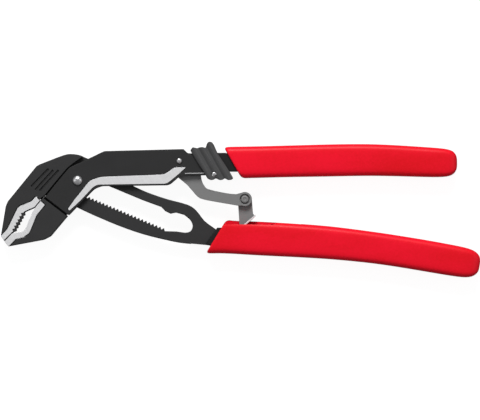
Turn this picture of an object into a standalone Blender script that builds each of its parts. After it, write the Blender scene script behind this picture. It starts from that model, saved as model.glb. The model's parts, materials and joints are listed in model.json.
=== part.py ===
"""Self-adjusting tongue and groove pliers, 250 mm long, lying flat with the jaws closed.

Lengths are millimetres until MM turns them into metres. The plan is drawn in X and Y around the main
rivet, with the handles towards +X. Z is the thickness, and the middle plane of the tool is z = 0 until
the datum empty lifts everything onto the ground.
"""

import math

import bmesh
import bpy
from mathutils import Matrix, Vector

MM = 0.001

# Where the datum (the main rivet's axis in the middle plane) stands, so that the origin is the bottom centre.
DATUM = (-84.6, 15.4, 6.5)

# Thickness of the layers, each measured from the middle plane.
CORE = 2.4  # half thickness of the lever, the lower jaw's tang and the handles' tangs
PLATE_INNER = 2.7
PLATE_OUTER = 4.9
GRIP_HALF = 6.5
LAP_GAP = 0.15  # each of two lapped arms stays this far from the middle plane
CLEAR = 0.3  # between pieces that slide or turn
SNUG = 0.2  # between pieces that are pressed or bonded together

# Joint axes and directions in plan.
MAIN_PIVOT = (0.0, 0.0)
REAR_PIVOT = (53.0, 10.2)
ELBOW = (87.1, -9.7)
SLOT_TURN = -22.7  # degrees from +X to the slot, down towards the lower grip
RACK_PITCH = 2.0
RACK_TIP = -5.57  # height of the rack's tips across the slot, measured from the slot's centre line
RACK_DEPTH = 1.33

# Rivets and bushes, radii.
MAIN_SHANK = 1.5
MAIN_HEAD = 2.5
REAR_SHANK = 1.0
REAR_HEAD = 1.45
ELBOW_SHANK = 1.3
ELBOW_HEAD = 2.0
ELBOW_RECESS = 2.65
SLEEVE_RADIUS = 2.3
ARM_BUSH_RADIUS = 2.2
DOWEL_RADIUS = 0.7
DOWELS = ((-10.0, -12.5), (-6.4, -15.0))
SPRING_POST = (38.5, 9.0)

# The slider's tunnel, which clears the side plates and the upper lever's shoulder.
TUNNEL_LOW = 2.6
TUNNEL_HIGH = 14.8
TUNNEL_HALF = 5.2
SLIDER_WALL = 5.9
LOCK_PIN = (71.1, 3.3)
DETENT_X = 72.2

parts = None
cutters = None
homes = {}


# ---------------------------------------------------------------- outlines

def rounded(points, steps=4):
    """A closed outline, with an arc of radius r at each corner that is given as (x, y, r)."""
    outline = []
    for i, point in enumerate(points):
        here = Vector(point[:2])
        if len(point) == 2:
            outline.append(here)
            continue
        back = Vector(points[i - 1][:2]) - here
        ahead = Vector(points[(i + 1) % len(points)][:2]) - here
        half = back.angle(ahead) / 2
        radius = min(point[2], 0.48 * min(back.length, ahead.length) * math.tan(half))
        middle = here + (back.normalized() + ahead.normalized()).normalized() * radius / math.sin(half)
        start = here + back.normalized() * radius / math.tan(half) - middle
        end = here + ahead.normalized() * radius / math.tan(half) - middle
        turn = math.atan2(start.x * end.y - start.y * end.x, start.dot(end))
        for step in range(steps + 1):
            outline.append(middle + Matrix.Rotation(turn * step / steps, 2) @ start)
    return outline


def smooth(points, steps=4):
    """A smooth stretch that passes through every point given."""
    knots = [Vector(p) for p in points]
    knots = [2 * knots[0] - knots[1], *knots, 2 * knots[-1] - knots[-2]]
    stretch = []
    for a, b, c, d in zip(knots, knots[1:], knots[2:], knots[3:]):
        for step in range(steps):
            t = step / steps
            stretch.append(0.5 * (2 * b + t * (c - a) + t * t * (2 * a - 5 * b + 4 * c - d)
                                  + t * t * t * (3 * b - a - 3 * c + d)))
    return [tuple(p) for p in stretch] + [tuple(knots[-2])]


def circle(centre, radius, count=24):
    turns = (2 * math.pi * i / count for i in range(count))
    return [(centre[0] + radius * math.cos(t), centre[1] + radius * math.sin(t)) for t in turns]


def arc(centre, radius, start, end, steps=6):
    """Points along an arc, from one angle to another in degrees."""
    angles = (math.radians(start + (end - start) * i / steps) for i in range(steps + 1))
    return [(centre[0] + radius * math.cos(a), centre[1] + radius * math.sin(a)) for a in angles]


def grown(points, by):
    """The outline moved outwards on every side by the same distance, for a pocket around a piece."""
    ring = [Vector(p[:2]) for p in points]
    area = sum(a.x * b.y - b.x * a.y for a, b in zip(ring, ring[1:] + ring[:1]))
    side = 1 if area > 0 else -1
    moved = []
    for before, here, after in zip(ring[-1:] + ring[:-1], ring, ring[1:] + ring[:1]):
        first = (here - before).normalized()
        second = (after - here).normalized()
        first = Vector((first.y, -first.x)) * side
        second = Vector((second.y, -second.x)) * side
        moved.append(here + (first + second) * by / (1 + first.dot(second)))
    return moved


def along_slot(u, n):
    """A plan point from its distance u along the slot and n across it, both from the main rivet."""
    turn = math.radians(SLOT_TURN)
    return (u * math.cos(turn) - n * math.sin(turn), u * math.sin(turn) + n * math.cos(turn))


# ---------------------------------------------------------------- objects

def material(name, colour, roughness, metallic):
    made = bpy.data.materials.get(name) or bpy.data.materials.new(name)
    made.use_nodes = True
    shader = made.node_tree.nodes["Principled BSDF"]
    shader.inputs["Base Color"].default_value = (*colour, 1)
    shader.inputs["Roughness"].default_value = roughness
    shader.inputs["Metallic"].default_value = metallic
    return made


def finish(obj, home, surface):
    """Gives the object its material and puts its origin on the axis that it moves about."""
    x, y = homes[home].location.xy if home != "datum" else (0, 0)
    obj.data.transform(Matrix.Translation((-x, -y, 0)))
    obj.parent = homes[home]
    obj.data.materials.clear()
    obj.data.materials.append(surface)
    return obj


def flat(name, outlines, low, high, home="datum", surface=None):
    """A plate with straight sides between two heights. Outlines after the first are its holes."""
    curve = bpy.data.curves.new(name, "CURVE")
    curve.dimensions = "2D"
    curve.fill_mode = "BOTH"
    curve.extrude = (high - low) / 2 * MM
    for outline in outlines:
        spline = curve.splines.new("POLY")
        spline.points.add(len(outline) - 1)
        for point, place in zip(spline.points, outline):
            point.co = (place[0] * MM, place[1] * MM, 0, 1)
        spline.use_cyclic_u = True
    drawn = bpy.data.objects.new(name + "_outline", curve)
    bpy.context.scene.collection.objects.link(drawn)
    drawn.location.z = (high + low) / 2 * MM
    bpy.context.view_layer.update()
    mesh = bpy.data.meshes.new_from_object(drawn.evaluated_get(bpy.context.evaluated_depsgraph_get()))
    mesh.transform(drawn.matrix_world)
    bpy.data.objects.remove(drawn)
    mesh.name = name
    weld(mesh)
    return keep(name, mesh, home, surface)


def weld(mesh):
    shape = bmesh.new()
    shape.from_mesh(mesh)
    bmesh.ops.remove_doubles(shape, verts=shape.verts, dist=0.00001)
    bmesh.ops.dissolve_limit(shape, angle_limit=math.radians(0.5), verts=shape.verts, edges=shape.edges)
    bmesh.ops.recalc_face_normals(shape, faces=shape.faces)
    shape.to_mesh(mesh)
    shape.free()


def keep(name, mesh, home, surface):
    obj = bpy.data.objects.new(name, mesh)
    if surface is None:
        cutters.objects.link(obj)
        obj.hide_render = True
        obj.display_type = "WIRE"
        obj.parent = homes["datum"]
        return obj
    parts.objects.link(obj)
    return finish(obj, home, surface)


def rod(name, centre, radius, low, high, home="datum", surface=None, count=20):
    """A round bar along Z, as a cone primitive with equal ends."""
    shape = bmesh.new()
    bmesh.ops.create_cone(shape, cap_ends=True, segments=count, radius1=radius * MM, radius2=radius * MM,
                          depth=(high - low) * MM)
    bmesh.ops.translate(shape, verts=shape.verts,
                        vec=Vector((centre[0], centre[1], (high + low) / 2)) * MM)
    mesh = bpy.data.meshes.new(name)
    shape.to_mesh(mesh)
    shape.free()
    return keep(name, mesh, home, surface)


def turned(name, profile, centre, home, surface, steps=24):
    """A turned piece: its profile as (radius, height), from the top centre down its outer side."""
    shape = bmesh.new()
    ring = [shape.verts.new((r * MM, 0, z * MM)) for r, z in profile]
    for a, b in zip(ring, ring[1:]):
        shape.edges.new((a, b))
    mesh = bpy.data.meshes.new(name)
    shape.to_mesh(mesh)
    shape.free()
    obj = bpy.data.objects.new(name, mesh)
    parts.objects.link(obj)
    screw = obj.modifiers.new("turn", "SCREW")
    screw.steps = steps
    screw.render_steps = steps
    screw.use_merge_vertices = True
    screw.merge_threshold = 0.00001
    obj.parent = homes[home]
    base = homes[home].location if home != "datum" else Vector((0, 0, 0))
    obj.location = (centre[0] * MM - base.x, centre[1] * MM - base.y, 0)
    obj.data.materials.append(surface)
    return obj


def wire(name, places, thickness, home, surface):
    """A round wire along the points given."""
    curve = bpy.data.curves.new(name, "CURVE")
    curve.dimensions = "3D"
    curve.bevel_depth = thickness / 2 * MM
    curve.bevel_resolution = 1
    curve.use_fill_caps = True
    spline = curve.splines.new("POLY")
    spline.points.add(len(places) - 1)
    for point, place in zip(spline.points, places):
        point.co = (*(Vector(place) * MM), 1)
    obj = bpy.data.objects.new(name, curve)
    parts.objects.link(obj)
    obj.parent = homes[home]
    curve.materials.append(surface)
    return obj


def combine(obj, operation, *others):
    for other in others:
        change = obj.modifiers.new(f"{operation.lower()}_{other.name}", "BOOLEAN")
        change.operation = operation
        change.object = other


def soften(obj, width, segments):
    """Rounds every sharp edge of the piece."""
    bevel = obj.modifiers.new("rounded_edges", "BEVEL")
    bevel.width = width * MM
    bevel.segments = segments
    bevel.limit_method = "ANGLE"
    bevel.angle_limit = math.radians(50)
    bevel.use_clamp_overlap = False


# ---------------------------------------------------------------- materials

def surfaces():
    return {
        "black": material("blackened_steel", (0.035, 0.036, 0.038), 0.45, 0.2),
        "bright": material("ground_steel", (0.68, 0.68, 0.68), 0.35, 1.0),
        "grey": material("zinc_grey_steel", (0.22, 0.22, 0.22), 0.45, 0.6),
        "spring": material("spring_steel", (0.32, 0.32, 0.33), 0.35, 1.0),
        "collar": material("black_moulding", (0.06, 0.06, 0.06), 0.5, 0.0),
        "red": material("red_dip", (0.75, 0.012, 0.03), 0.4, 0.0),
    }


# ---------------------------------------------------------------- frame: side plates, lower jaw, upper lever

def plate_outline():
    over_jaw = smooth([(-17.1, -8.7), (-9.3, 0.9), (-5.2, 5.7), (-2.6, 7.6), (5.6, 11.3)], 3)
    return rounded([*over_jaw, (13.9, 15.3, 4), (55.2, 16.35, 1), (57.2, 14.4, 1), (59.2, 13.6, 2),
                    (69.5, 13.6), (69.5, 2.8), (53.3, 2.4, 4), (47.7, -2.5, 5), (12.6, -2.95, 7),
                    (8.7, -4.3, 8), (-4.6, -18.1)])


def strip_outline():
    return rounded([(56.1, 6.9), (50.6, 6.8, 6), (45.2, 3.1, 6), (12.0, 1.8, 4), (6.4, -0.1, 6),
                    (-1.7, -10.2), (-5.0, -14.9, 0.6), (-4.1, -15.7, 0.5), (1.8, -10.2), (8.4, -3.2, 6),
                    (10.6, -2.2, 5), (46.6, -1.7, 5), (52.6, 3.3, 2), (56.1, 6.5)])


def side_plates(paint):
    for side, facing in (("front", 1), ("back", -1)):
        low, high = sorted((PLATE_INNER * facing, PLATE_OUTER * facing))
        plate = flat(f"frame_plate_{side}",
                     [plate_outline(), circle(MAIN_PIVOT, MAIN_SHANK + CLEAR),
                      circle(REAR_PIVOT, REAR_SHANK + SNUG, 16)], low, high, surface=paint["black"])
        bed = sorted(((PLATE_OUTER - 0.8) * facing, (PLATE_OUTER + 1) * facing))
        combine(plate, "DIFFERENCE",
                flat(f"strip_bed_{side}", [grown(strip_outline(), SNUG)], *bed),
                *(rod(f"dowel_hole_{side}_{i}", place, DOWEL_RADIUS + SNUG,
                      *sorted(((PLATE_INNER - 1) * facing, (PLATE_INNER + 1.3) * facing)), count=12)
                  for i, place in enumerate(DOWELS)))
        flat(f"trim_strip_{side}", [strip_outline()],
             *sorted(((PLATE_OUTER - 0.6) * facing, (PLATE_OUTER + 0.1) * facing)), surface=paint["bright"])


def lower_jaw(paint):
    head = flat("lower_jaw", [rounded([
        (-17.3, -9.5), (-5.3, -18.6), (-14.15, -29.15, 4), (-17.7, -31.0, 3), (-35.4, -34.3),
        (-32.0, -30.6, 1), (-27.6, -29.4, 2), (-25.3, -27.6, 1), (-24.4, -26.2), (-21.2, -18.3, 2),
        (-16.7, -12.7), (-18.9, -10.7), (-19.3, -10.15), (-17.75, -8.85)])],
                -PLATE_OUTER, PLATE_OUTER, surface=paint["black"])
    tang = flat("lower_jaw_tang", [[(-17.3, -10.4), (-17.6, -8.75), (-17.3, -8.25), (-16.2, -8.05),
                                    (-6.3, -12.8), (-4.3, -14.1), (-3.5, -15.9), (-5.3, -17.8),
                                    (-9.4, -18.6)]], -CORE, CORE)
    combine(head, "UNION", tang)
    combine(head, "DIFFERENCE", *(rod(f"dowel_bore_{i}", place, DOWEL_RADIUS + SNUG, -5.5, 5.5, count=12)
                                  for i, place in enumerate(DOWELS)))
    flat("lower_jaw_insert", [rounded([
        (-35.9, -34.4), (-32.2, -30.5, 1), (-27.7, -29.2, 2), (-25.4, -27.5, 1), (-24.6, -26.2),
        (-21.4, -18.2, 2), (-17.0, -12.7), (-19.2, -10.8), (-22.2, -14.4), (-23.2, -16.2),
        (-27.3, -25.6, 2), (-28.3, -26.6, 1), (-34.0, -27.6), (-38.1, -31.8)])],
        -PLATE_OUTER, PLATE_OUTER, surface=paint["bright"])
    for i, place in enumerate(DOWELS):
        rod(f"jaw_dowel_{i + 1}", place, DOWEL_RADIUS, -3.7, 3.7, surface=paint["spring"], count=12)


def shoulder_outline():
    """The upper lever where it shows between the slider and the grip."""
    return rounded([(69.9, 4.6), (86.0, 4.6), (84.0, 12.4), (77.0, 14.4, 3), (69.9, 14.4)])


def upper_tang_outline():
    return rounded([(82.0, 4.9), (126.0, 6.4), (152.0, 7.0), (184.0, 6.6, 3), (184.0, 12.2, 3),
                    (152.0, 14.6), (126.0, 14.2), (82.0, 12.2)])


def upper_lever(paint):
    lever = flat("upper_lever", [shoulder_outline()], -PLATE_OUTER, PLATE_OUTER, surface=paint["black"])
    tongue = flat("upper_lever_tongue", [rounded([
        (47.0, 4.4, 2), (71.0, 4.9), (71.0, 13.3), (56.0, 14.4, 2), (47.0, 14.4, 3)])], -CORE, -LAP_GAP)
    tang = flat("upper_lever_tang", [upper_tang_outline()], -CORE, CORE)
    combine(lever, "UNION", tongue, tang)
    bore = rod("rear_rivet_bore", REAR_PIVOT, REAR_SHANK + SNUG, -6, 6, count=16)
    pocket = rod("detent_bore", (0, 0), 1.6, -4, 4, count=14)
    pocket.data.transform(Matrix.Translation((DETENT_X * MM, 11.4 * MM, 0)) @ Matrix.Rotation(
        math.radians(90), 4, "X"))
    combine(lever, "DIFFERENCE", bore, pocket)


def upper_grip(paint):
    outline = rounded([(70.0, 1.5), *smooth([(85.4, 1.5), (126.4, 2.1), (151.6, 2.6), (181.6, 1.9)], 3),
                       (195.2, 1.9, 4.5), (199.2, 9.5, 6), (193.4, 16.5, 5),
                       *smooth([(188.0, 16.7), (171.5, 17.9), (151.6, 18.9), (126.4, 18.6), (90.0, 17.6)], 3),
                       (70.0, 17.3)])
    grip = flat("upper_grip", [outline], -GRIP_HALF, GRIP_HALF, surface=paint["red"])
    soften(grip, 3.6, 3)
    front = flat("upper_grip_front", [[(60, -5), (89.1, -5), (75.7, 18.4), (77.8, 25), (60, 25)]], -9, 9)
    combine(grip, "DIFFERENCE", front,
            flat("upper_shoulder_pocket", [grown(shoulder_outline(), CLEAR)],
                 -PLATE_OUTER - CLEAR, PLATE_OUTER + CLEAR),
            flat("upper_tang_pocket", [grown(upper_tang_outline(), CLEAR)], -CORE - CLEAR, CORE + CLEAR))


def rivets(paint):
    under = PLATE_OUTER + SNUG
    for name, centre, shank, head, crown in (
            ("main_rivet", MAIN_PIVOT, MAIN_SHANK, MAIN_HEAD, GRIP_HALF),
            ("rear_rivet", REAR_PIVOT, REAR_SHANK, REAR_HEAD, GRIP_HALF - 0.5)):
        dome = crown - under - 0.3
        rise = [(head * math.sin(a), under + 0.3 + dome * math.cos(a))
                for a in (math.radians(x) for x in (0, 25, 45, 65, 80, 90))]
        top = [*rise, (head, under), (shank, under)]
        turned(name, [*top, *((r, -z) for r, z in reversed(top))], centre, "datum", paint["bright"])


def spring_parts(paint):
    rod("spring_post", SPRING_POST, 2.0, -CORE, CORE, surface=paint["spring"], count=16)
    mean, turns, per_turn = 2.9, 3, 14
    coil = [(SPRING_POST[0] + mean * math.cos(a), SPRING_POST[1] + mean * math.sin(a), z)
            for a, z in ((-math.pi / 2 - 2 * math.pi * i / per_turn, 1.6 - 3.2 * i / (turns * per_turn))
                         for i in range(turns * per_turn + 1))]
    first_leg = [(45.6, coil[0][1] - 0.2, coil[0][2])]
    last_leg = [(31.0, coil[-1][1] + 0.4, coil[-1][2])]
    wire("return_spring", first_leg + coil + last_leg, 0.8, "datum", paint["spring"])
    ball = bmesh.new()
    bmesh.ops.create_uvsphere(ball, u_segments=12, v_segments=8, radius=1.25 * MM)
    bmesh.ops.translate(ball, verts=ball.verts, vec=(DETENT_X * MM, 13.2 * MM, 0))
    mesh = bpy.data.meshes.new("detent_ball")
    ball.to_mesh(mesh)
    ball.free()
    keep("detent_ball", mesh, "datum", paint["bright"])
    turns, per_turn, low, high = 4, 10, 7.9, 11.4
    wire("detent_spring",
         [(DETENT_X + math.cos(a), low + (high - low) * i / (turns * per_turn), math.sin(a))
          for i, a in ((i, 2 * math.pi * i / per_turn) for i in range(turns * per_turn + 1))],
         0.4, "datum", paint["spring"])


# ---------------------------------------------------------------- the slotted lever and its handle

def slot_outline():
    """The window in the lever: a straight upper side, a rounded far end and the rack on the lower side."""
    first, last = -3, 26
    rack = []
    for tooth in range(last, first, -1):
        rack.append(along_slot(tooth * RACK_PITCH, RACK_TIP - RACK_DEPTH))
        rack.append(along_slot((tooth - 0.5) * RACK_PITCH, RACK_TIP))
    near_end = [along_slot(-6.2, RACK_TIP), along_slot(-6.2, 3.45)]
    upper = [(16.8, -3.3), (33.8, -10.3), (43.6, -13.9), (45.6, -16.0), (48.4, -17.4), (51.2, -16.8),
             (55.5, -18.0)]
    far_end = smooth([(55.5, -18.0), (58.6, -20.6), (59.9, -23.6), (58.9, -26.3), (56.2, -27.2),
                      (51.4, -26.6)], 3)
    return [*near_end, *upper, *far_end[1:], *rack]


def lever_outline():
    neck = [(-12.0, 7.0), (-2.0, 12.0), (3.2, 12.25), (5.4, 11.3), (14.0, 5.8), (22.0, 0.6)]
    limb = smooth([(29.4, -3.1), (36.3, -6.2), (46.5, -9.7), (57.2, -12.6), (61.9, -15.8), (66.1, -21.1),
                   (71.8, -25.3)], 3)
    tang = [(75.6, -28.9), (112.0, -28.9), (131.6, -29.5), (156.5, -32.2), (184.0, -37.4), (184.0, -42.4),
            (156.5, -39.6), (131.6, -37.3), (95.0, -36.2), (76.0, -35.4)]
    belly = smooth([(67.3, -33.7), (55.3, -32.8), (46.5, -31.2), (33.8, -28.0), (21.2, -23.6),
                    (8.4, -18.2), (-0.4, -14.1)], 3)
    heel = arc(MAIN_PIVOT, 13.6, -95, -150, 5)
    return [*neck, *limb, *tang, *belly, *heel, (-17.2, -7.9), (-20.0, -4.0)]


def upper_head_outline():
    relief = [(2.9, 12.35), (-0.7, 9.85), (-3.1, 8.1), (-5.4, 6.2), (-9.6, 1.25), (-17.1, -7.9)]
    recess = [(-19.6, -9.9), (-21.3, -8.5), (-22.2, -8.5), (-24.0, -10.6), (-30.1, -13.2), (-31.4, -14.4),
              (-35.6, -23.0), (-36.7, -25.2)]
    crown = smooth([(-19.9, 8.3), (-7.4, 13.1), (-3.0, 13.75), (1.0, 13.2), (2.9, 12.35)], 3)
    return rounded([*crown[:-1], *relief, *recess, (-39.9, -28.7), (-37.4, -13.5, 2), (-36.3, -10.9, 2),
                    (-21.4, 7.4, 2)])


def slotted_lever(paint):
    lever = flat("slotted_lever", [lever_outline(), slot_outline()], -CORE, CORE, "lever", paint["black"])
    head = flat("upper_jaw_head", [upper_head_outline()], -PLATE_OUTER, PLATE_OUTER)
    shoulder = flat("lower_shoulder", [[(66.4, -33.4), (72.7, -24.6), (76.2, -24.6), (76.2, -34.6)]],
                    -CORE - 1, CORE + 1)
    combine(lever, "UNION", head, shoulder)
    for number, (start, end) in enumerate((((-24.0, -3.1), (-15.2, 5.9)), ((-21.9, -4.9), (-12.7, 5.2)),
                                           ((-19.6, -5.3), (-9.9, 5.2)))):
        run = Vector(end) - Vector(start)
        across = Vector((-run.y, run.x)).normalized() * 0.35
        groove = [Vector(start) - across, Vector(end) - across, Vector(end) + across, Vector(start) + across]
        combine(lever, "DIFFERENCE",
                *(flat(f"jaw_groove_{number}_{side}", [groove], *sorted((4.3 * side, 6.0 * side)))
                  for side in (1, -1)))


def upper_jaw_insert(paint):
    first, last, teeth = Vector((-33.6, -26.6)), Vector((-28.2, -16.7)), 6
    run = (last - first) / teeth
    bite = Vector((-run.y, run.x)).normalized() * 0.9
    serration = []
    for tooth in range(teeth):
        start = first + run * tooth
        serration += [start + run * 0.08, start + run * 0.5 + bite, start + run * 0.92]
    flat("upper_jaw_insert", [[*map(tuple, serration), (-27.4, -16.0), (-22.4, -13.8), (-19.65, -10.5),
                               (-21.3, -8.8), (-22.1, -8.8), (-23.8, -10.8), (-29.9, -13.4), (-31.2, -14.5),
                               (-35.4, -23.1), (-36.5, -25.4), (-40.0, -29.1), (-38.4, -31.2),
                               (-34.3, -27.1)]],
         -PLATE_OUTER, PLATE_OUTER, "lever", paint["bright"])


def lower_grip(paint):
    outline = rounded([*smooth([(60.0, -36.4), (67.3, -36.9), (95.1, -38.8), (131.6, -40.8),
                                (156.5, -43.3), (181.6, -47.3), (196.0, -49.7)], 3),
                       (205.5, -51.2, 4), (210.6, -42.9, 6), (204.8, -35.6, 5),
                       *smooth([(196.0, -34.0), (181.6, -31.3), (156.5, -27.3), (131.6, -24.1),
                                (104.8, -22.1), (92.8, -21.4), (60.0, -21.2)], 3)])
    grip = flat("lower_grip", [outline], -GRIP_HALF, GRIP_HALF, "lever", paint["red"])
    soften(grip, 3.6, 3)
    tang = lever_outline()
    start = next(i for i, p in enumerate(tang) if p[0] > 75)
    tang_pocket = [(60.0, -28.9), *tang[start:start + 10], (60.0, -33.7)]
    combine(grip, "DIFFERENCE",
            flat("lower_grip_front", [[(50, -45), (62.35, -45), (77.4, -20.4), (77.4, -12), (50, -12)]],
                 -9, 9),
            flat("lower_tang_pocket", [grown(tang_pocket, CLEAR)], -CORE - CLEAR, CORE + CLEAR),
            flat("lower_shoulder_pocket", [[(60, -24.3), (76.5, -24.3), (76.5, -34.9), (60, -35.5)]],
                 -CORE - 1 - CLEAR, CORE + 1 + CLEAR),
            flat("link_channel", [[(60, -29.1), (116.5, -29.1), (116.5, -15), (60, -15)]], -2.95, 2.95),
            flat("channel_lip", [rounded([(70, -22.9), (102.0, -22.9), (106.0, -21.0), (106.0, -15),
                                          (70, -15)])], 2.0, 9))


# ---------------------------------------------------------------- the adjusting mechanism

def shift_parts(paint):
    flat("pivot_sleeve", [circle(MAIN_PIVOT, SLEEVE_RADIUS), circle(MAIN_PIVOT, MAIN_SHANK + CLEAR)],
         -CORE, CORE, "handle", paint["bright"])
    leaf_low = [(-4.9, 2.35), (-3.2, 2.4), (-1.6, 2.62), (0.0, 2.7), (1.6, 2.62), (3.2, 2.4), (4.9, 2.35)]
    leaf = leaf_low + [(u, n + 0.4) for u, n in reversed(leaf_low)]
    flat("pawl_spring", [[along_slot(*p) for p in leaf]], -1.8, 1.8, "handle", paint["spring"])
    half_width, channel = 5.4, SLEEVE_RADIUS + CLEAR
    tooth_root = RACK_TIP + CLEAR + RACK_DEPTH
    teeth = []
    for tooth in range(-2, 3):
        teeth += [((tooth - 0.5) * RACK_PITCH + 0.05, tooth_root), (tooth * RACK_PITCH, RACK_TIP + CLEAR),
                  ((tooth + 0.5) * RACK_PITCH - 0.05, tooth_root)]
    fork = [(half_width, tooth_root), (half_width, 1.9), (channel, 1.9), *arc((0, 0), channel, 0, -180, 10),
            (-channel, 1.9), (-half_width, 1.9), (-half_width, tooth_root)]
    flat("shift_block", [[along_slot(*p) for p in teeth + fork]], -CORE, CORE, "pawl", paint["spring"])


def control_linkage(paint):
    flat("arm_bush", [circle(REAR_PIVOT, ARM_BUSH_RADIUS), circle(REAR_PIVOT, REAR_SHANK + CLEAR, 16)],
         LAP_GAP, CORE, "rear_bush", paint["bright"])
    hub = arc(REAR_PIVOT, 4.6, 30, 190, 9)
    inner = smooth([(51.0, 2.6), (53.0, 1.0), (57.4, -2.7), (62.4, -8.4), (65.6, -9.9), (69.6, -10.75),
                    (76.4, -11.95), (83.4, -13.15)], 3)
    boss = arc(ELBOW, 3.75, -115, 115, 12)
    outer = smooth([(82.7, -7.1), (78.0, -6.7), (68.3, -4.6), (66.0, -2.7), (64.7, -0.1), (64.2, 3.0)], 3)
    arm = flat("control_arm", [[*hub, *inner, *boss, *outer],
                               circle(REAR_PIVOT, ARM_BUSH_RADIUS + CLEAR),
                               circle(ELBOW, ELBOW_SHANK + CLEAR)], LAP_GAP, CORE, "rear_arm", paint["grey"])
    combine(arm, "DIFFERENCE", rod("elbow_recess", ELBOW, ELBOW_RECESS, CORE - 1.0, CORE + 2, count=24))
    front, back = CORE + 0.35, CORE + 0.95
    turned("elbow_rivet", [(0, front), (1.5, front), (1.9, front - 0.2), (ELBOW_HEAD, front - 0.5),
                           (ELBOW_HEAD, CORE - 0.8), (ELBOW_SHANK, CORE - 0.8),
                           (ELBOW_SHANK, -CORE - SNUG), (2.4, -CORE - SNUG), (2.2, -back), (0, -back)],
           ELBOW, "elbow_pin", paint["grey"])
    boss = arc(ELBOW, 3.7, 0, 180, 10)
    link = flat("short_link", [[*boss, (84.0, -18.0), (84.4, -25.0), (85.4, -25.3), (92.6, -18.9),
                                (91.4, -17.2)], circle(ELBOW, ELBOW_SHANK + CLEAR, 16)],
                -CORE, -LAP_GAP, "elbow_link", paint["grey"])
    flange = flat("link_flange", [[(84.2, -24.9), (84.7, -25.5), (93.0, -18.5), (92.5, -17.9)]],
                  -CORE + 0.1, CORE)
    combine(link, "UNION", flange)


def lock_slider(paint):
    silhouette = rounded([
        (58.9, 15.6, 1), (60.4, 17.3, 0.8), (62.0, 16.7, 1), (64.9, 17.3, 1.5), (66.9, 16.9),
        (67.5, 18.9, 0.8), (68.7, 20.2, 0.9), (70.4, 19.4, 0.8), (72.9, 14.3), (79.6, 3.9), (81.1, 1.3, 0.8),
        (78.6, 0.2, 0.9), (76.6, 1.2, 0.6), (74.3, 0.2, 0.9), (71.9, 1.2, 0.6), (69.7, 0.2, 0.9),
        (67.4, 1.2, 0.8), (66.1, 4.0), (63.2, 8.2)], 3)
    slider = flat("lock_slider", [silhouette], -SLIDER_WALL, SLIDER_WALL, "slider", paint["collar"])
    lean = Vector((7.6, -13.6)).normalized()
    across = Vector((-lean.y, lean.x)) * 1.15
    ribs = []
    for number, top in enumerate(((61.0, 15.6), (65.4, 15.9), (69.6, 16.4))):
        start = Vector(top)
        end = start + lean * (start.y - 1.6) / -lean.y
        rib = rounded([(*(start - across), 1.1), (*(end - across), 1.1), (*(end + across), 1.1),
                       (*(start + across), 1.1)], 3)
        ribs += [flat(f"slider_rib_{number}_{side}", [rib], *sorted((5.5 * side, GRIP_HALF * side)))
                 for side in (1, -1)]
    combine(slider, "UNION", *ribs)
    tunnel = flat("slider_tunnel",
                  [[(50, TUNNEL_LOW), (95, TUNNEL_LOW), (95, TUNNEL_HIGH), (50, TUNNEL_HIGH)]],
                  -TUNNEL_HALF, TUNNEL_HALF)
    bore = rod("lock_pin_bore", LOCK_PIN, 0.95 + SNUG, -9, 9, count=16)
    combine(slider, "DIFFERENCE", tunnel, bore)
    rod("lock_pin", LOCK_PIN, 0.95, -GRIP_HALF + 0.3, GRIP_HALF - 0.3, "slider", paint["bright"], count=16)


# ---------------------------------------------------------------- assembly

def main():
    global parts, cutters
    for obj in list(bpy.data.objects):
        bpy.data.objects.remove(obj, do_unlink=True)
    parts = bpy.data.collections.new("tongue_and_groove_pliers")
    cutters = bpy.data.collections.new("cutters")
    bpy.context.scene.collection.children.link(parts)
    bpy.context.scene.collection.children.link(cutters)
    for home, place in (("datum", (0, 0)), ("handle", MAIN_PIVOT), ("lever", MAIN_PIVOT),
                        ("pawl", MAIN_PIVOT), ("rear_bush", REAR_PIVOT), ("rear_arm", REAR_PIVOT),
                        ("elbow_pin", ELBOW), ("elbow_link", ELBOW), ("slider", LOCK_PIN)):
        empty = bpy.data.objects.new(home + "_axis", None)
        parts.objects.link(empty)
        homes[home] = empty
        if home == "datum":
            empty.location = Vector(DATUM) * MM
        else:
            empty.parent = homes["datum"]
            empty.location = (place[0] * MM, place[1] * MM, 0)
    paint = surfaces()
    side_plates(paint)
    lower_jaw(paint)
    upper_lever(paint)
    upper_grip(paint)
    rivets(paint)
    spring_parts(paint)
    slotted_lever(paint)
    upper_jaw_insert(paint)
    lower_grip(paint)
    shift_parts(paint)
    control_linkage(paint)
    lock_slider(paint)


main()
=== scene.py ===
"""Looks of the self-adjusting tongue and groove pliers.

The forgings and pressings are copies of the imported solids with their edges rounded. The grips, the
slider, the rivets and the pins are modelled afresh in the same places. Lengths in the plan are
millimetres from the main rivet's axis, with the handles towards +X, and plan() turns them into the
frame's metres.
"""
import json
import math

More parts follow.
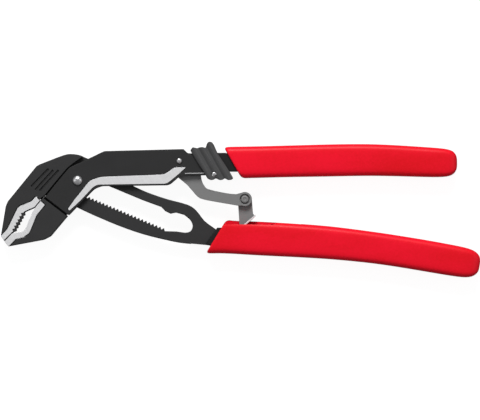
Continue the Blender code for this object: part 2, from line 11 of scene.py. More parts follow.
import bmesh
import bpy
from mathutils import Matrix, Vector

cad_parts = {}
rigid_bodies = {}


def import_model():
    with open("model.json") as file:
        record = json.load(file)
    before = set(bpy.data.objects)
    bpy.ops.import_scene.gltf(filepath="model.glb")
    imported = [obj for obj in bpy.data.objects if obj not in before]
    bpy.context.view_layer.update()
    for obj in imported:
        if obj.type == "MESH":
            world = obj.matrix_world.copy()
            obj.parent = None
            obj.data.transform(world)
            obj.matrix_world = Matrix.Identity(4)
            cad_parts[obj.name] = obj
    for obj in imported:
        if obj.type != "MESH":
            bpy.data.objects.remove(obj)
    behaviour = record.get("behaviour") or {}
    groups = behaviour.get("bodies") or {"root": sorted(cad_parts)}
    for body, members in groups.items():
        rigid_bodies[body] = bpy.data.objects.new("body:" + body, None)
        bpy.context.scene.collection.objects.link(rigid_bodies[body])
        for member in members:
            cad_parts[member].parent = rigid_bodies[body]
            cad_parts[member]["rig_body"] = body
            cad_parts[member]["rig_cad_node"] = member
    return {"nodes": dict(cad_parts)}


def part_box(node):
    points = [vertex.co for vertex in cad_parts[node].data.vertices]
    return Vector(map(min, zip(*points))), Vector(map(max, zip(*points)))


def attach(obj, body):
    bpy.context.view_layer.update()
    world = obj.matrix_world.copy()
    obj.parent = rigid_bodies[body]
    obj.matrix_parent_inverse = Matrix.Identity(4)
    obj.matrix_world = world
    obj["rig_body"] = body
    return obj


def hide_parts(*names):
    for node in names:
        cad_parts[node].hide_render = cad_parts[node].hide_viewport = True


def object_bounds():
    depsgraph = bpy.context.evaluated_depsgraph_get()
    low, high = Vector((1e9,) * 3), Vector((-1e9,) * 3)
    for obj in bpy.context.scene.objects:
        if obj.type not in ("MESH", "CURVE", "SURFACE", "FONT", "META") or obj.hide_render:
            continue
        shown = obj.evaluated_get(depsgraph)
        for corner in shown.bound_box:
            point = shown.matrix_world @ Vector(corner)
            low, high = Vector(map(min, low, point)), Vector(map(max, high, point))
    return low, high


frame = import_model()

MM = 0.001
CAD_LOW, CAD_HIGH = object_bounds()
PIVOT = (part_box("main_rivet")[0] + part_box("main_rivet")[1]) / 2
CORE = 2.4  # half thickness of the slotted lever
SLOT_TURN = math.radians(-22.7)  # from +X to the lever's slot
REAR_RIVET = (53.0, 10.2)
ELBOW_RIVET = (87.1, -9.7)
SLIDER_PIN = (71.1, 3.3)
TUNNEL_LOW, TUNNEL_HIGH, TUNNEL_HALF = 2.6, 14.8, 5.2  # the hole in the slider


def plan(x, y, z=0.0):
    """The frame's place, in metres, of a point given in the plan's millimetres."""
    return PIVOT + Vector((x, y, z)) * MM


def to_plan(place):
    """The plan's millimetres of a place in the frame."""
    return (place - PIVOT) / MM


# ---------------------------------------------------------------- finishes

class Line:
    """A socket of a finish that can be added to and multiplied."""

    def __init__(self, paint, socket):
        self.paint = paint
        self.socket = socket

    def __add__(self, other):
        return self.paint.maths("ADD", self, other)

    def __mul__(self, other):
        return self.paint.maths("MULTIPLY", self, other)

    __radd__ = __add__


class Paint:
    """One finish, made of nodes."""

    def __init__(self, name, constants):
        self.material = bpy.data.materials.new(name)
        self.material.use_nodes = True
        self.tree = self.material.node_tree
        self.shader = self.tree.nodes["Principled BSDF"]
        for socket, value in constants.items():
            self.shader.inputs[socket].default_value = value

    def feed(self, socket, value):
        if isinstance(value, Line):
            self.tree.links.new(value.socket, socket)
        else:
            socket.default_value = value

    def node(self, kind, inputs, output=0, **settings):
        made = self.tree.nodes.new(kind)
        for setting, value in settings.items():
            setattr(made, setting, value)
        for socket, value in inputs.items():
            self.feed(made.inputs[socket], value)
        return Line(self, made.outputs[output])

    def maths(self, operation, *values):
        return self.node("ShaderNodeMath", dict(enumerate(values)), operation=operation)

    def step(self, value, low, high):
        return self.node("ShaderNodeMapRange", {"Value": value, "From Min": low, "From Max": high},
                         interpolation_type="SMOOTHSTEP")

    def mix(self, factor, first, second):
        return self.node("ShaderNodeMix", {0: factor, 6: first, 7: second}, output=2, data_type="RGBA")

    def scaled(self, colour, share):
        return self.node("ShaderNodeVectorMath", {0: colour, "Scale": share}, operation="SCALE")

    def place(self, turn=0.0, stretch=(1, 1, 1)):
        """Object coordinates, turned about Z and then stretched."""
        here = self.node("ShaderNodeTexCoord", {}, output="Object")
        turned = self.node("ShaderNodeMapping", {"Vector": here, "Rotation": (0, 0, math.radians(turn))})
        return self.node("ShaderNodeMapping", {"Vector": turned, "Scale": stretch})

    def noise(self, place, scale, detail=3.0, rough=0.5):
        return self.node("ShaderNodeTexNoise", {"Vector": place, "Scale": scale, "Detail": detail,
                                                "Roughness": rough})

    def unshaded_flats(self, low, high):
        """1 on faces that look straight along Z, 0 on the sides, which the finishes darken with it as
        painted shade.
        """
        normal = self.node("ShaderNodeTexCoord", {}, output="Normal")
        z = self.node("ShaderNodeSeparateXYZ", {"Vector": normal}, output="Z")
        return self.step(self.maths("ABSOLUTE", z), low, high)

    def bump(self, height, strength, distance):
        normal = self.node("ShaderNodeBump", {"Height": height, "Strength": strength, "Distance": distance})
        self.feed(self.shader.inputs["Normal"], normal)

    def set(self, **inputs):
        for socket, value in inputs.items():
            self.feed(self.shader.inputs[socket.replace("_", " ")], value)


def shade(grey, tint=(1, 1, 1)):
    """An opaque colour: a grey, tinted."""
    return (*(grey * t for t in tint), 1)


def blackened_steel(name="blackened_steel", grey=0.031):
    """Phosphated black, even and dull on the flats, with painted shade: a deeper black on the edges and
    sides.
    """
    paint = Paint(name, {"Specular IOR Level": 0.28, "Metallic": 0.0})
    grain = paint.noise(paint.place(), 2300, 4, 0.65)
    cloud = paint.noise(paint.place(stretch=(1, 1.6, 1)), 85, 4, 0.6)
    draw = paint.noise(paint.place(22.7, (60, 900, 300)), 1.0, 3, 0.6)
    # painted shade: the upright sides and rounded edges get a near-black instead of the face colour
    flat = paint.unshaded_flats(0.72, 0.985)
    tone = 0.80 + cloud * 0.22 + grain * 0.16 + draw * 0.05
    face = paint.scaled(shade(grey, (1, 1, 1.02))[:3], tone)
    paint.set(Base_Color=paint.mix(flat, shade(0.004), face), Roughness=0.40 + grain * 0.16 + cloud * 0.08)
    paint.bump(grain * 0.7 + draw * 0.3, 0.25, 0.00004)
    return paint.material


def ground_steel():
    """Bright steel off the grinding belt, with its fine slanting scratches, and painted shade in grey on its
    sides.
    """
    paint = Paint("ground_steel", {"Metallic": 0.4, "Specular IOR Level": 0.4})
    scratch = paint.noise(paint.place(58, (200, 3000, 900)), 1.0, 5, 0.7)
    cross = paint.noise(paint.place(-34, (220, 2600, 900)), 1.0, 3, 0.6)
    cloud = paint.noise(paint.place(), 130, 3, 0.5)
    tone = 0.76 + scratch * 0.22 + cross * 0.10 + cloud * 0.06
    bright = paint.scaled((0.98, 0.98, 0.99), tone)
    # painted shade: the upright sides get a flat grey instead of the bright face colour
    flat = paint.unshaded_flats(0.3, 0.9)
    paint.set(Base_Color=paint.mix(flat, shade(0.42), bright), Roughness=0.30 + scratch * 0.22)
    paint.bump(scratch * 0.7 + cross * 0.3, 0.3, 0.00003)
    return paint.material


def grey_steel():
    """Dull zinc grey of the pressed arm and link, with painted shade in a darker grey on the sides."""
    paint = Paint("grey_steel", {"Metallic": 0.2, "Specular IOR Level": 0.35})
    grain = paint.noise(paint.place(), 2600, 4, 0.6)
    cloud = paint.noise(paint.place(), 110, 3, 0.5)
    rolled = paint.noise(paint.place(10, (80, 1500, 500)), 1.0, 3, 0.6)
    tone = 0.86 + grain * 0.10 + cloud * 0.10 + rolled * 0.08
    face = paint.scaled((0.235, 0.235, 0.235), tone)
    # painted shade: the upright sides get a darker grey than the faces
    flat = paint.unshaded_flats(0.5, 0.95)
    paint.set(Base_Color=paint.mix(flat, shade(0.10), face), Roughness=0.42 + grain * 0.15)
    paint.bump(grain * 0.6 + rolled * 0.4, 0.25, 0.00003)
    return paint.material


def rivet_steel():
    """Peened steel, with the small dents of the riveting hammer."""
    paint = Paint("rivet_steel", {"Metallic": 0.85})
    dent = paint.noise(paint.place(), 950, 2, 0.5)
    grain = paint.noise(paint.place(), 3800, 3, 0.6)
    tone = 0.55 + dent * 0.6 + grain * 0.1
    bright = paint.scaled((0.80, 0.80, 0.81), tone)
    paint.set(Base_Color=bright, Roughness=0.22 + grain * 0.18)
    paint.bump(dent, 0.6, 0.00025)
    return paint.material


def spring_steel():
    """Drawn wire and hardened strip, straw grey."""
    paint = Paint("spring_steel", {"Metallic": 1.0})
    drawn = paint.noise(paint.place(), 1700, 4, 0.6)
    cloud = paint.noise(paint.place(), 300, 2, 0.5)
    face = paint.scaled((0.36, 0.355, 0.345), 0.75 + cloud * 0.5)
    paint.set(Base_Color=face, Roughness=0.28 + drawn * 0.2)
    paint.bump(drawn, 0.2, 0.00002)
    return paint.material


def black_moulding():
    """The slider's moulding: charcoal and finely eroded, with painted shade in a deeper black on its sides.
    """
    paint = Paint("black_moulding", {"Specular IOR Level": 0.45, "Metallic": 0.0})
    spark = paint.noise(paint.place(), 3100, 4, 0.7)
    cloud = paint.noise(paint.place(), 240, 3, 0.5)
    flow = paint.noise(paint.place(59, (90, 1100, 400)), 1.0, 3, 0.6)
    # painted shade: the upright sides get a near-black instead of the face colour
    flat = paint.unshaded_flats(0.5, 0.995)
    tone = 0.72 + cloud * 0.3 + spark * 0.14 + flow * 0.12
    face = paint.scaled((0.066, 0.066, 0.067), tone)
    paint.set(Base_Color=paint.mix(flat, shade(0.006), face), Roughness=0.38 + spark * 0.18)
    paint.bump(spark * 0.6 + flow * 0.4, 0.3, 0.00004)
    return paint.material


def red_dip(name="red_dip", strength=1.0):
    """Dipped vinyl: even and satin, with the faint ripple of the dried dip."""
    paint = Paint(name, {"Specular IOR Level": 0.12, "Coat Weight": 0.04, "Coat Roughness": 0.2})
    ripple = paint.noise(paint.place(stretch=(0.5, 1, 1)), 75, 2, 0.4)
    peel = paint.noise(paint.place(), 900, 3, 0.5)
    cloud = paint.noise(paint.place(stretch=(0.3, 1, 1)), 60, 3, 0.5)
    deep = shade(strength, (0.80, 0.006, 0.014))
    full = shade(strength, (0.96, 0.007, 0.028))
    tone = paint.step(cloud * 0.7 + peel * 0.3, 0.3, 0.7)
    paint.set(Base_Color=paint.mix(tone, deep, full), Roughness=0.36 + peel * 0.12)
    paint.bump(ripple * 0.85 + peel * 0.15, 0.18, 0.00025)
    return paint.material


def pale_floor():
    """Matt white board that glows, so that it stays pale under soft lights."""
    paint = Paint("pale_floor", {"Roughness": 0.9, "Specular IOR Level": 0.0, "Emission Strength": 0.93,
                                 "Emission Color": shade(1.0)})
    tooth = paint.noise(paint.place(), 320, 3, 0.5)
    paint.set(Base_Color=paint.mix(tooth, shade(0.20), shade(0.22)))
    return paint.material


FINISHES = {
    "blackened_steel": blackened_steel(),
    "ground_steel": ground_steel(),
    "grey_steel": grey_steel(),
    "spring_steel": spring_steel(),
    "black_moulding": black_moulding(),
    "red_dip": red_dip(),
}
RIVET_STEEL = rivet_steel()
PLATE_BLACK = blackened_steel("blackened_plate", 0.024)
SHADED_TANG_BLACK = blackened_steel("blackened_tang_painted_shade", 0.011)  # painted shade: a darker black for the upper lever and the lower one's shoulder, for the grips' shade on them
RED_CHANNEL_SHADE = red_dip("red_channel_painted_shade", 0.32)  # painted shade: a dark red on the inside of the lower grip's channel and on its far wall's rim


# ---------------------------------------------------------------- bench work

def only(piece):
    bpy.ops.object.select_all(action="DESELECT")
    piece.select_set(True)
    bpy.context.view_layer.objects.active = piece


def edit(piece, kind="VERT"):
    """Opens the piece in edit mode with nothing selected."""
    only(piece)
    bpy.ops.object.mode_set(mode="EDIT")
    bpy.ops.mesh.select_mode(type=kind)
    bpy.ops.mesh.select_all(action="DESELECT")


def take_all():
    bpy.ops.mesh.select_all(action="SELECT")


def pull(step):
    """Extrudes what is selected by a step in metres."""
    bpy.ops.mesh.extrude_region_move(TRANSFORM_OT_translate={"value": step})


def close():
    bpy.ops.object.mode_set(mode="OBJECT")


def pick(piece, kind, test):
    """Selects the edges or faces that pass the test, and no others."""
    bpy.ops.mesh.select_all(action="DESELECT")
    shape = bmesh.from_edit_mesh(piece.data)
    for item in getattr(shape, kind):
        if test(item):
            item.select_set(True)
    shape.select_flush_mode()
    bmesh.update_edit_mesh(piece.data)


def modify(piece, kind, **settings):
    """Adds a modifier and applies it."""
    only(piece)
    change = piece.modifiers.new(kind.lower(), kind)
    for setting, value in settings.items():
        setattr(change, setting, value)
    bpy.ops.object.modifier_apply(modifier=change.name)


def cut(piece, *cutters, operation="DIFFERENCE"):
    for cutter in cutters:
        modify(piece, "BOOLEAN", operation=operation, object=cutter, solver="EXACT")
        bpy.data.objects.remove(cutter)


def smooth(piece, angle=35):
    """Smooth shading that leaves the flat faces flat."""
    only(piece)
    bpy.ops.object.shade_smooth_by_angle(angle=math.radians(angle))
    modify(piece, "WEIGHTED_NORMAL", keep_sharp=True)


def second_finish(piece, finish, test):
    """Gives the faces that pass the test another finish."""
    piece.data.materials.append(finish)
    for face in piece.data.polygons:
        if test(to_plan(face.center), face.normal):
            face.material_index = 1


def hand_over(piece, name, body, slot, *nodes, finish=None):
    """Names the piece, paints it, says what it rides on, and hides the imported solids it stands for."""
    piece.name = name
    piece.data.name = name
    piece.data.materials.clear()
    piece.data.materials.append(finish or FINISHES[slot])
    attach(piece, body)
    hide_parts(*nodes)
    return piece


def blank(node):
    """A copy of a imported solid, welded, with its flat faces whole again."""
    only(frame["nodes"][node])
    bpy.ops.object.duplicate()
    piece = bpy.context.active_object
    bpy.ops.object.parent_clear(type="CLEAR_KEEP_TRANSFORM")
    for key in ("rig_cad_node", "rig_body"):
        del piece[key]
    edit(piece)
    take_all()
    bpy.ops.mesh.remove_doubles(threshold=0.000004)
    bpy.ops.mesh.customdata_custom_splitnormals_clear()
    bpy.ops.mesh.dissolve_limited(angle_limit=math.radians(0.6))
    close()
    return piece


def sharp(edge, angle=28):
    """Whether the two faces beside an edge turn by more than this, in degrees."""
    return len(edge.link_faces) == 2 and edge.calc_face_angle() > math.radians(angle)


def wall_height(edge):
    """How tall the upright face beside a rim edge is, in millimetres."""
    tall = 0.0
    for face in edge.link_faces:
        if abs(face.normal.z) < 0.5:
            heights = [v.co.z for v in face.verts]
            tall = max(tall, (max(heights) - min(heights)) / MM)
    return tall


def rim(edge):
    """A sharp outer edge that lies in the plan, where a flat face meets an upright one."""
    level = abs(edge.verts[0].co.z - edge.verts[1].co.z) < 0.00001
    return (level and sharp(edge) and edge.is_convex
            and any(abs(f.normal.z) > 0.5 for f in edge.link_faces))


def middle(item):
    """The middle of an edge or a face, in the plan's millimetres."""
    if isinstance(item, bmesh.types.BMFace):
        return to_plan(item.calc_center_median())
    return to_plan((item.verts[0].co + item.verts[1].co) / 2)


def far(edge, height):
    """Whether an edge lies further than this from the mid-plane, in millimetres."""
    return abs(middle(edge).z) > height


def round_edges(piece, width, test, segments=3):
    edit(piece, "EDGE")
    pick(piece, "edges", test)
    bpy.ops.mesh.bevel(offset=width * MM, segments=segments, profile=0.5, affect="EDGES",
                       clamp_overlap=False, loop_slide=False)
    close()


def start_point(place):
    """A new piece that is one corner, in edit mode and selected."""
    bpy.ops.object.select_all(action="DESELECT")
    bpy.ops.mesh.primitive_plane_add(size=MM, location=place)
    piece = bpy.context.active_object
    bpy.ops.object.transform_apply(location=True, rotation=True, scale=True)
    edit(piece)
    take_all()
    bpy.ops.mesh.merge(type="CENTER")
    return piece


def upright_square(kind):
    """A square 2 mm across that faces along X, in edit mode with all of it selected."""
    bpy.ops.object.select_all(action="DESELECT")
    bpy.ops.mesh.primitive_plane_add(size=2 * MM, rotation=(0, math.radians(90), 0))
    piece = bpy.context.active_object
    bpy.ops.object.transform_apply(location=True, rotation=True, scale=True)
    edit(piece, kind)
    take_all()
    return piece


def draw_on(steps):
    """Draws on from the last corner, one step after another."""
    for step in steps:
        bpy.ops.mesh.extrude_vertices_move(TRANSFORM_OT_translate={"value": step})


def drawn_plate(points, low, high, corner):
    """A plate with rounded corners, drawn round its outline in the plan and pulled up."""
    places = [plan(x, y, low) for x, y in points]
    piece = start_point(places[0])
    draw_on(b - a for a, b in zip(places, places[1:]))
    take_all()
    bpy.ops.mesh.edge_face_add()
    bpy.ops.mesh.bevel(offset=corner * MM, segments=4, affect="VERTICES", clamp_overlap=True)
    take_all()
    pull((0, 0, (high - low) * MM))
    take_all()
    bpy.ops.mesh.normals_make_consistent(inside=False)
    close()
    return piece


def turned(profile, x, y, steps=48):
    """A piece turned about an upright axis, from its profile of (radius, height) from top to bottom."""
    places = [plan(x + r, y, z) for r, z in profile]
    piece = start_point(places[0])
    draw_on(b - a for a, b in zip(places, places[1:]))
    take_all()
    bpy.ops.mesh.spin(steps=steps, angle=2 * math.pi, center=plan(x, y), axis=(0, 0, 1))
    take_all()
    bpy.ops.mesh.remove_doubles(threshold=0.000005)
    bpy.ops.mesh.normals_make_consistent(inside=False)
    close()
    return piece


# ---------------------------------------------------------------- forgings and pressings

def frame_plate(side):
    node = f"frame_plate_{side}"
    plate = blank(node)

    def beside_strip(edge):
        """Along the bright strip, where only a narrow rounding fits."""
        here = middle(edge)
        return here.y < min(6.5, 1.5 + 0.9 * max(here.x - 3, 0)) and -9 < here.x < 62

    def outer(edge):
        """On the plate's own outline, not on the rim of a recess."""
        return rim(edge) and wall_height(edge) > 1.5 and far(edge, 4)

    round_edges(plate, 0.12, lambda e: outer(e) and beside_strip(e))
    round_edges(plate, 0.5, lambda e: outer(e) and not beside_strip(e))
    round_edges(plate, 0.08, lambda e: rim(e) and wall_height(e) < 1.0 and far(e, 4.8), 2)
    smooth(plate)
    hand_over(plate, f"plate_{side}", "frame", "blackened_steel", node, finish=PLATE_BLACK)


def trim_strip(side):
    node = f"trim_strip_{side}"
    strip = blank(node)
    round_edges(strip, 0.1, rim, 2)
    smooth(strip)
    hand_over(strip, f"strip_{side}", "frame", "ground_steel", node)


def painted_highlight_line(side):
    """A painted highlight: a thin bright sliver that runs on from the strip along the plate's lower edge."""
    facing = 1 if side == "front" else -1
    outline = ((55.9, 3.55), (66.4, 3.72), (66.4, 3.98), (55.9, 3.81))
    line = drawn_plate(outline, *sorted((4.86 * facing, 4.94 * facing)), 0.08)
    smooth(line)
    hand_over(line, f"painted_highlight_line_{side}", "frame", "ground_steel")


def lower_jaw():
    jaw = blank("lower_jaw")
    round_edges(jaw, 0.45, lambda e: rim(e) and far(e, 4.5))
    smooth(jaw)
    hand_over(jaw, "fixed_jaw", "frame", "blackened_steel", "lower_jaw")


def jaw_insert(node, name, body):
    insert = blank(node)
    round_edges(insert, 0.12, rim, 2)
    smooth(insert)
    hand_over(insert, name, body, "ground_steel", node)


def upper_lever():
    lever = blank("upper_lever")
    round_edges(lever, 0.5, lambda e: rim(e) and far(e, 4.5))
    smooth(lever)
    # The whole bar takes the darker black, painted shade from the grip.
    hand_over(lever, "handle_bar", "frame", "blackened_steel", "upper_lever", finish=SHADED_TANG_BLACK)


def slotted_lever():
    lever = blank("slotted_lever")

    def in_rack(edge):
        """On the teeth of the rack, from the place along the slot (u) and across it (n)."""
        here = middle(edge)
        u = here.x * math.cos(SLOT_TURN) + here.y * math.sin(SLOT_TURN)
        n = here.y * math.cos(SLOT_TURN) - here.x * math.sin(SLOT_TURN)
        return -7.1 < n < -5.0 and -7 < u < 53

    def in_groove(edge):
        """On the rims of the shallow slanting grooves of the head."""
        return 0 < wall_height(edge) < 1.5 and far(edge, 4.2)

    def under_shoulder(edge):
        """On the lever's belly, where the shoulder before the grip stands over it."""
        here = middle(edge)
        return 59 < here.x < 76 and here.y < -32.5 and abs(here.z) < CORE + 0.05

    def plain(edge):
        return rim(edge) and not (in_rack(edge) or in_groove(edge) or under_shoulder(edge))

    round_edges(lever, 0.42, lambda e: plain(e) and far(e, CORE - 0.05))
    round_edges(lever, 0.14, lambda e: rim(e) and under_shoulder(e), 2)
    round_edges(lever, 0.12, lambda e: rim(e) and in_rack(e), 2)
    round_edges(lever, 0.3, lambda e: rim(e) and in_groove(e) and far(e, 4.8))
    smooth(lever)
    hand_over(lever, "jaw_lever_forging", "jaw_lever", "blackened_steel", "slotted_lever")
    # Painted shade: the shoulder before the grip takes the darker black.
    second_finish(lever, SHADED_TANG_BLACK, lambda here, normal: here.x > 66 and abs(here.z) > 2.5)


def control_arm():
    arm = blank("control_arm")
    round_edges(arm, 0.2, rim, 2)
    smooth(arm)
    hand_over(arm, "bent_arm", "control_arm", "grey_steel", "control_arm")


def short_link():
    link = blank("short_link")
    round_edges(link, 0.08, rim, 2)
    smooth(link)
    hand_over(link, "folded_link", "short_link", "grey_steel", "short_link")
    second_finish(link, FINISHES["ground_steel"], lambda here, normal: here.z > 1.0)


SHADE_LINING_WIDTH = 0.38  # width of the black strip of painted shade along the jaw face's edge
JAW_TEETH = 6


def jaw_teeth_and_shade():
    """The moving jaw's black teeth and a thin black strip along its bright face: partly the teeth's own
    black, partly painted shade along the edge and in the notches between the teeth.
    """
    edge = ((-19.6, -10.5), (-22.38, -13.84), (-27.4, -16.04), (-28.2, -16.7), (-33.6, -26.6),
            (-34.3, -27.12), (-38.4, -31.22))
    inside = [Vector(p) for p in edge]
    outside = []
    for before, here, after in zip([inside[0], *inside], inside, [*inside[1:], inside[-1]]):
        run = (after - before).normalized()
        outside.append(here + Vector((-run.y, run.x)) * SHADE_LINING_WIDTH)
    shade_lining = drawn_plate([tuple(p) for p in (*inside, *reversed(outside))], -4.6, 4.6, 0.05)
    first, last = Vector((-33.6, -26.6)), Vector((-28.2, -16.7))
    run = (last - first) / JAW_TEETH
    bite = Vector((-run.y, run.x)).normalized()
    # Each black diamond is a tooth with the painted shade of the notches beside it.
    for number in range(JAW_TEETH):
        start = first + run * number
        diamond = [start + run * 0.1 - bite * 0.1, start + run * 0.5 + bite * 0.82,
                   start + run * 0.9 - bite * 0.1, start + run * 1.02 - bite * 0.5,
                   start + run * 0.5 - bite * 1.25, start - run * 0.02 - bite * 0.5]
        cut(shade_lining, drawn_plate([tuple(p) for p in diamond], -4.62, 4.62, 0.12), operation="UNION")
    smooth(shade_lining)
    hand_over(shade_lining, "jaw_teeth_and_shade", "jaw_lever", "blackened_steel")


RIB_CENTRES = (60.9, 65.0, 68.9)
RIB_REACH = 1.95  # from a rib's middle to its groove
GROOVE_HALF = 5.7
RIB_RISE = 0.75
SLIDER_OUTLINE = (
    (58.7, 15.6), (59.9, 17.3), (61.4, 17.0), (62.3, 16.7), (63.4, 17.2), (65.0, 17.4), (66.7, 16.9),
    (67.3, 18.9), (68.2, 20.2), (69.9, 20.0), (71.0, 18.6), (72.9, 14.3), (79.6, 3.9), (81.1, 1.2),
    (80.2, 0.4), (78.4, 0.2), (76.6, 1.2), (75.6, 0.4), (74.0, 0.2), (71.9, 1.2), (70.8, 0.4),
    (69.3, 0.2), (67.6, 1.0), (66.0, 4.0), (62.6, 9.0),
)


def rib_height(across):
    """Half thickness of the slider's moulding, 6.45 on its ribs and 5.7 in the grooves."""
    nearest = min(abs(across - centre) for centre in RIB_CENTRES)
    rise = 0.5 + 0.5 * math.cos(math.pi * min(nearest / RIB_REACH, 1.0))
    return GROOVE_HALF + RIB_RISE * rise ** 0.6


def slider():
    """The collar is pulled out across its ribs, trimmed to its outline, then hollowed for the lever."""
    lean = math.radians(29.2)
    start, end, steps = 57.0, 73.0, 64
    length, centre = 15.0, -26.0
    collar = upright_square("FACE")
    tall = rib_height(start)
    bpy.ops.transform.resize(value=(1, length, tall), center_override=(0, 0, 0))
    bpy.ops.transform.translate(value=plan(start, centre))
    for step in range(1, steps + 1):
        across = start + (end - start) * step / steps
        pull(((end - start) / steps * MM, 0, 0))
        now = rib_height(across)
        bpy.ops.transform.resize(value=(1, 1, now / tall), center_override=plan(across, centre))
        tall = now
    take_all()
    bpy.ops.transform.rotate(value=-lean, orient_axis="Z", center_override=plan(0, 0))
    bpy.ops.mesh.normals_make_consistent(inside=False)
    close()
    cut(collar, drawn_plate(SLIDER_OUTLINE, -8, 8, 0.5), operation="INTERSECT")
    tunnel = drawn_plate(((50, TUNNEL_LOW), (95, TUNNEL_LOW), (95, TUNNEL_HIGH), (50, TUNNEL_HIGH)),
                         -TUNNEL_HALF, TUNNEL_HALF, 0.1)
    bore = turned(((0, 9), (1.12, 9), (1.12, -9), (0, -9)), *SLIDER_PIN, 24)
    cut(collar, tunnel, bore)
    round_edges(collar, 0.22, lambda e: sharp(e, 50) and far(e, 5.4), 2)
    smooth(collar, 40)
    hand_over(collar, "ribbed_slider", "lock_slider", "black_moulding", "lock_slider")


def both_ends(half):
    """A rivet's whole profile from its upper half."""
    return (*half, *((r, -z) for r, z in reversed(half)))


def turned_parts():
    half = ((0, 6.5), (0.5, 6.48), (1.0, 6.38), (1.5, 6.18), (1.95, 5.86), (2.28, 5.5), (2.45, 5.16),
            (2.45, 5.02), (1.5, 4.98))
    rivet = turned(both_ends(half), 0, 0)
    smooth(rivet)
    hand_over(rivet, "pivot_rivet", "frame", "ground_steel", "main_rivet", finish=RIVET_STEEL)
    half = ((0, 6.0), (0.45, 5.97), (0.85, 5.82), (1.2, 5.55), (1.4, 5.25), (1.42, 5.02), (1.0, 4.98))
    rivet = turned(both_ends(half), *REAR_RIVET)
    smooth(rivet)
    hand_over(rivet, "arm_rivet", "frame", "ground_steel", "rear_rivet", finish=RIVET_STEEL)
    pin = turned(((0, 6.42), (0.5, 6.4), (0.8, 6.3), (0.97, 6.1), (0.97, -6.1), (0.8, -6.3),
                  (0.5, -6.4), (0, -6.42)), *SLIDER_PIN, 32)
    smooth(pin)
    hand_over(pin, "slider_pin", "lock_slider", "ground_steel", "lock_pin", finish=RIVET_STEEL)
    rivet = turned(((0, 2.5), (0.7, 2.55), (0.9, 2.72), (1.55, 2.75), (1.85, 2.62), (2.0, 2.35), (2.0, 1.62),
                    (1.3, 1.6), (1.3, -2.6), (2.3, -2.6), (2.4, -2.75), (2.3, -3.1), (1.9, -3.3),
                    (0, -3.35)), *ELBOW_RIVET)
    smooth(rivet)
    hand_over(rivet, "link_rivet", "elbow_rivet", "grey_steel", "elbow_rivet")


# ---------------------------------------------------------------- grips

GRIP_CORNER = 0.44  # taken off the section's corners, as a share of its half width
GRIP_LIP = 1.15  # width of the rim round the mouth


def grip(name, body, node, sections, mouth, *channels):
    """A dipped grip, pulled out from its slanted front mouth, one section at a time.

    Each section is its middle (x, y), half its width, half its thickness, and its turn in degrees.
    The mouth is given as shares of the front's width and thickness, its shift in the plan, and its depth.
    """
    x, y, wide, thick, turn = sections[0]
    piece = upright_square("VERT")
    bpy.ops.mesh.bevel(offset=GRIP_CORNER * MM, segments=3, affect="VERTICES")
    bpy.ops.mesh.select_mode(type="FACE")
    take_all()
    bpy.ops.transform.resize(value=(1, wide, thick), center_override=(0, 0, 0))
    bpy.ops.transform.rotate(value=-math.radians(turn), orient_axis="Z", center_override=(0, 0, 0))
    bpy.ops.transform.translate(value=plan(x, y))
    for x2, y2, wide2, thick2, turn2 in sections[1:]:
        pull(Vector((x2 - x, y2 - y, 0)) * MM)
        here = plan(x2, y2)
        bpy.ops.transform.rotate(value=math.radians(turn), orient_axis="Z", center_override=here)
        bpy.ops.transform.resize(value=(1, wide2 / wide, thick2 / thick), center_override=here)
        bpy.ops.transform.rotate(value=-math.radians(turn2), orient_axis="Z", center_override=here)
        x, y, wide, thick, turn = x2, y2, wide2, thick2, turn2
    wide_share, thick_share, shift, depth = mouth
    x, y = sections[0][:2]
    pick(piece, "faces", lambda f: len(f.verts) > 4 and middle(f).x < x + 2)
    bpy.ops.mesh.inset(thickness=GRIP_LIP * MM)
    bpy.ops.transform.resize(value=(wide_share, wide_share, thick_share), center_override=plan(x, y))
    bpy.ops.transform.translate(value=Vector((*shift, 0)) * MM)
    for step in (0.15 * depth, 0.85 * depth):
        pull((step * MM, 0, 0))
    take_all()
    bpy.ops.mesh.normals_make_consistent(inside=False)
    close()
    modify(piece, "SUBSURF", levels=2, render_levels=2)
    if channels:
        cut(piece, *channels)
        round_edges(piece, 0.22, lambda e: sharp(e, 45), 2)
    smooth(piece, 50)
    return hand_over(piece, name, body, "red_dip", node)


UPPER_GRIP = (
    (80.7, 9.3, 8.05, 6.0, 29.9), (81.2, 9.32, 8.9, 6.4, 29.8), (82.0, 9.34, 9.3, 6.5, 29.3),
    (83.3, 9.37, 9.3, 6.5, 27.6), (86.5, 9.45, 8.75, 6.5, 20.0),
    (92.5, 9.55, 8.3, 6.5, 6.0), (102.0, 9.8, 8.25, 6.5, -1.0), (114.0, 10.1, 8.3, 6.5, -1.2),
    (126.4, 10.35, 8.4, 6.5, -1.2), (139.0, 10.62, 8.4, 6.5, -0.8), (151.6, 10.75, 8.3, 6.5, 0.5),
    (162.0, 10.48, 8.2, 6.5, 1.6), (171.5, 10.1, 8.05, 6.5, 2.0), (181.6, 9.6, 7.85, 6.5, 2.0),
    (188.8, 9.3, 7.65, 6.5, 1.0), (193.9, 9.2, 7.1, 6.2, 0.0), (196.5, 9.2, 5.6, 5.2, 0.0),
    (197.6, 9.2, 3.4, 3.6, 0.0), (197.9, 9.2, 1.4, 1.8, 0.0),
)
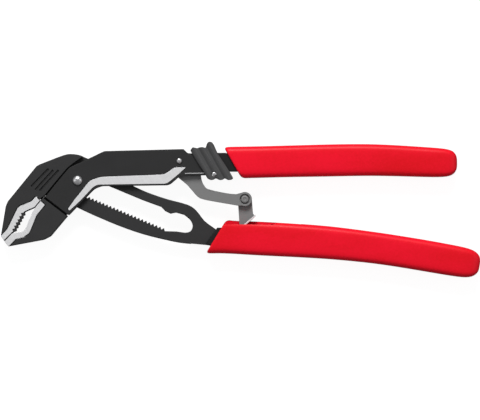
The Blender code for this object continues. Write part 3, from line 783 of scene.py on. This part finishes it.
LOWER_GRIP = (
    (72.0, -29.3, 8.9, 6.0, -31.4), (72.5, -29.33, 9.75, 6.4, -31.3), (73.3, -29.35, 10.15, 6.5, -31.0),
    (74.6, -29.38, 10.05, 6.5, -29.3), (78.0, -29.45, 9.2, 6.5, -22.0),
    (84.5, -29.75, 8.75, 6.5, -9.0), (93.0, -30.15, 8.9, 6.5, -3.5), (104.8, -30.75, 8.85, 6.5, -3.5),
    (118.0, -31.5, 8.75, 6.5, -4.0), (131.6, -32.45, 8.6, 6.5, -5.5), (144.0, -33.8, 8.35, 6.5, -7.5),
    (156.5, -35.3, 8.2, 6.5, -8.5), (169.0, -37.2, 8.15, 6.5, -9.3), (181.6, -39.3, 8.2, 6.5, -9.8),
    (194.0, -41.5, 8.1, 6.5, -9.8), (202.6, -43.0, 7.9, 6.4, -9.8), (206.9, -43.75, 6.7, 5.6, -9.8),
    (209.2, -44.15, 4.3, 4.0, -9.8), (209.7, -44.25, 1.9, 2.2, -9.8),
)


# ---------------------------------------------------------------- stage

CAMERA_HEIGHT = 1.74  # metres above the mid-plane


def studio():
    """A pale floor, one soft key light, two weak side lights and a camera that looks straight down."""
    bpy.ops.object.select_all(action="DESELECT")
    bpy.ops.mesh.primitive_plane_add(size=4.0, location=(0, 0, CAD_LOW.z - 0.0003))
    floor = bpy.context.active_object
    floor.name = "floor_board"
    floor.data.materials.append(pale_floor())
    floor.visible_diffuse = False
    floor.visible_glossy = False
    for name, place, size, power in (
            ("key_light", (-0.12, 1.30, 1.05), 0.7, 27.0),
            ("left_light", (-1.3, 0.1, 0.9), 0.9, 2.6),
            ("right_light", (1.3, 0.2, 0.9), 0.9, 2.6)):
        aim = (-Vector(place)).to_track_quat("-Z", "Y").to_euler()
        bpy.ops.object.light_add(type="AREA", location=place, rotation=aim)
        light = bpy.context.active_object
        light.name = name
        light.data.size = size
        light.data.energy = power
    world = bpy.data.worlds.new("studio_walls")
    bpy.context.scene.world = world
    world.use_nodes = True
    world.node_tree.nodes["Background"].inputs["Color"].default_value = (0.20, 0.20, 0.203, 1)
    bpy.context.scene.view_settings.view_transform = "Standard"
    bpy.ops.object.camera_add(location=(0, 0, PIVOT.z + CAMERA_HEIGHT), rotation=(0, 0, 0))
    camera = bpy.context.active_object
    camera.name = "camera"
    camera.data.lens = 250
    camera.data.sensor_width = 36
    camera.data.clip_start = 0.05
    camera.data.clip_end = 20
    bpy.context.scene.camera = camera


# ---------------------------------------------------------------- assembly

for side in ("front", "back"):
    frame_plate(side)
    trim_strip(side)
    painted_highlight_line(side)
lower_jaw()
jaw_insert("lower_jaw_insert", "fixed_jaw_face", "frame")
jaw_insert("upper_jaw_insert", "moving_jaw_face", "jaw_lever")
upper_lever()
slotted_lever()
control_arm()
short_link()
slider()
jaw_teeth_and_shade()
turned_parts()
grip("upper_dipped_grip", "frame", "upper_grip", UPPER_GRIP, (0.74, 0.98, (0, 0), 6))
lower_grip = grip(
    "lower_dipped_grip", "jaw_lever", "lower_grip", LOWER_GRIP, (0.80, 0.70, (-0.2, -0.4), 6),
    drawn_plate(((60, -29.1), (116.5, -29.1), (116.5, -15), (60, -15)), -2.95, 2.95, 0.8),
    drawn_plate(((70, -22.9), (102, -22.9), (106, -21.0), (106, -15), (70, -15)), 2.0, 9.0, 0.8))
# Painted shade: the channel's faces and the far wall's rim, where they face up, take the dark red.
second_finish(lower_grip, RED_CHANNEL_SHADE, lambda here, normal: (
    here.x < 107 and here.y > -23.3 and here.z < 2.2 and normal.z > -0.3))
HIDDEN = {
    "spring_steel": ("jaw_dowel_1", "jaw_dowel_2", "spring_post", "return_spring", "detent_spring",
                     "pawl_spring", "shift_block"),
    "ground_steel": ("detent_ball", "pivot_sleeve", "arm_bush"),
}
for slot, nodes in HIDDEN.items():
    for node in nodes:
        frame["nodes"][node].material_slots[0].material = FINISHES[slot]
studio()
bpy.context.view_layer.update()
